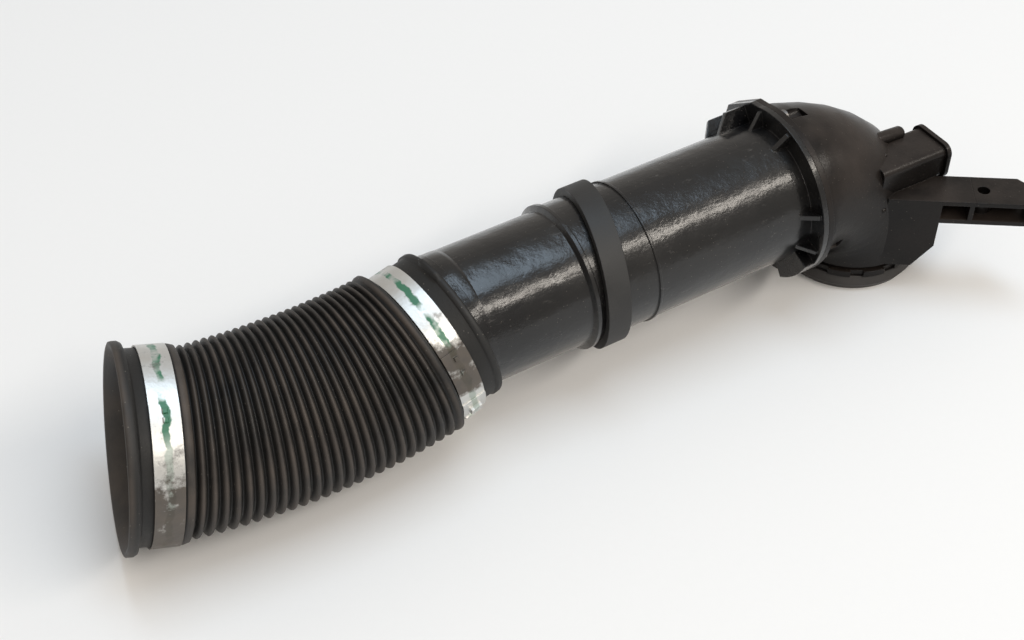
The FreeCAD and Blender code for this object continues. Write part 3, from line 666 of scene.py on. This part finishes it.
def dress_cad_pieces():
    smooth_over_seams("elbow")
    elbow_look = elbow_plastic()
    seal_look = plain_rubber("seal_rubber", SEAL_BLACK, 0.55)
    tube_look = tube_plastic()
    dress("intake_tube", tube_look)
    add_piece("spigot_collar", spigot_collar(), tube_look, "tube_plastic")
    dress("elbow", elbow_look)
    dress("bracket_end", elbow_look)
    dress("chamber_cover", elbow_look)
    elbow_details(elbow_look)
    dress("support_band", plain_rubber("band_rubber", BAND_BLACK, 0.6))
    dress("joint_seal", seal_look)
    dress("outlet_seal", seal_look)
    dress("flange_screws", screw_steel())
    front_centre = LIP_CENTRE + LIP_AXIS * FRONT_CLAMP_FROM_LIP
    rear_centre = TUBE_END - SPIGOT_AXIS * REAR_CLAMP_FROM_RIM
    front_look = clamp_steel(
        "front_clamp_steel", front_centre, LIP_AXIS, FRONT_DARK_BAND, FRONT_LIGHTER_BELOW, FRONT_MARK_ABOVE)
    rear_look = clamp_steel(
        "rear_clamp_steel", rear_centre, SPIGOT_AXIS, REAR_DARK_BAND, REAR_LIGHTER_BELOW, REAR_MARK_ABOVE)
    dress("front_band_clamp", front_look)
    dress("rear_band_clamp", rear_look)
    front_overlap = strip_end(
        front_centre, LIP_AXIS, FRONT_STRIP_RADIUS, FRONT_STRIP_START, FRONT_STRIP_SPAN, FRONT_HOOKS)
    rear_overlap = strip_end(
        rear_centre, SPIGOT_AXIS, REAR_STRIP_RADIUS, REAR_STRIP_START, REAR_STRIP_SPAN, REAR_HOOKS)
    add_piece("front_clamp_overlap", front_overlap, front_look, "clamp_steel")
    add_piece("rear_clamp_overlap", rear_overlap, rear_look, "clamp_steel")


# Stage

def floor():
    half = FLOOR_SIZE / 2
    mesh = bpy.data.meshes.new("floor")
    corners = [(-half, -half, 0), (half, -half, 0), (half, half, 0), (-half, half, 0)]
    mesh.from_pydata(corners, [], [(0, 1, 2, 3)])
    piece = bpy.data.objects.new("floor", mesh)
    bpy.context.scene.collection.objects.link(piece)
    look = Shader("floor_paper", FLOOR_COLOUR[:3], 0.8)
    grain = look.noise(260.0, 3.0)
    look.colour(look.mix(grain, FLOOR_COLOUR[:3], tuple(0.985 * part for part in FLOOR_COLOUR[:3])))
    look.relief(grain, 0.1 * MM, 0.2)
    mesh.materials.append(look.material)


def world():
    made = bpy.data.worlds.new("studio")
    bpy.context.scene.world = made
    made.use_nodes = True
    light = made.node_tree.nodes["Background"]
    light.inputs["Color"].default_value = BACKDROP_COLOUR
    light.inputs["Strength"].default_value = WORLD_STRENGTH


def area_lamp(name, place, target, width, height, power, colour):
    data = bpy.data.lights.new(name, "AREA")
    data.shape = "RECTANGLE"
    data.size = width
    data.size_y = height
    data.energy = power
    data.color = colour
    lamp = bpy.data.objects.new(name, data)
    lamp.location = place
    lamp.rotation_euler = (Vector(target) - Vector(place)).to_track_quat("-Z", "Y").to_euler()
    bpy.context.scene.collection.objects.link(lamp)


def lights():
    for name, place, width, height, power, colour in LAMPS:
        area_lamp(name, place, LAMP_TARGET, width, height, power, colour)


def camera():
    data = bpy.data.cameras.new("photo_camera")
    data.sensor_fit = "HORIZONTAL"
    data.sensor_width = CAMERA_SENSOR
    data.lens = CAMERA_LENS
    made = bpy.data.objects.new("photo_camera", data)
    tilt = Matrix.Rotation(math.radians(90.0 - CAMERA_PITCH), 4, "X")
    turn = Matrix.Rotation(math.radians(-CAMERA_TURN), 4, "Z")
    made.matrix_world = Matrix.Translation(CAMERA_PLACE) @ turn @ tilt
    bpy.context.scene.collection.objects.link(made)
    bpy.context.scene.camera = made


bellows_hose()
dress_cad_pieces()
floor()
world()
lights()
camera()
bpy.context.scene.view_settings.view_transform = "Standard"
